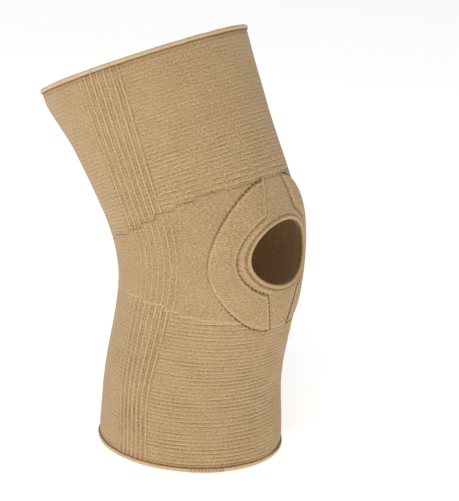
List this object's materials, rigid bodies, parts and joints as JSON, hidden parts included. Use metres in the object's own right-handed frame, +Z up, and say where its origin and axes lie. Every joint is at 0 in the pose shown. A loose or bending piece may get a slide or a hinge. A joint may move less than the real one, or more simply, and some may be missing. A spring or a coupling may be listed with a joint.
{
  "type": "knee support sleeve",
  "caption": "Elastic knitted knee support sleeve that bends at the knee, with an open kneecap window between padded sewn pockets.",
  "frame": {"origin": "centre of the lower (calf) opening, on the plane the sleeve stands on", "axes": "+Z up along the calf, -Y towards the kneecap window, +X towards the wearer's left"},
  "size_m": [0.1468, 0.1984, 0.2916],
  "materials": {
    "knit": "ribbed elastic knit, matte",
    "welt": "rolled knit welt, matte",
    "binding": "folded knit binding, matte",
    "pocket": "fine plain knit, matte",
    "pad": "soft felt",
    "elastic": "covered elastic",
    "thread": "sewing thread"
  },
  "bodies": {
    "calf_cuff": {"calf_sleeve": "knit", "calf_welt": "welt", "calf_welt_elastic": "elastic", "calf_welt_seam": "thread", "calf_welt_join": "thread"},
    "knee_section": {"knee_gusset": "knit", "opening_binding": "binding", "opening_binding_seam": "thread", "right_pocket_cover": "pocket", "right_pad": "pad", "right_outer_seam": "thread", "right_inner_seam": "thread", "left_pocket_cover": "pocket", "left_pad": "pad", "left_outer_seam": "thread", "left_inner_seam": "thread"},
    "thigh_cuff": {"thigh_sleeve": "knit", "thigh_welt": "welt", "thigh_welt_elastic": "elastic", "thigh_welt_seam": "thread"}
  },
  "joints": [
    {"name": "calf_bend", "type": "hinge", "parent": "calf_cuff", "child": "knee_section", "pos_m": [0, 0, 0.143], "axis": [-1, 0, 0], "range_deg": [-13.5, 31.5], "deforming": ["knee_gusset"]},
    {"name": "thigh_bend", "type": "hinge", "parent": "knee_section", "child": "thigh_cuff", "pos_m": [0, 0, 0.143], "axis": [-1, 0, 0], "range_deg": [-13.5, 31.5], "deforming": ["knee_gusset"]}
  ],
  "couplings": [
    {"joint": "thigh_bend", "follows": "calf_bend", "ratio": 1}
  ]
}
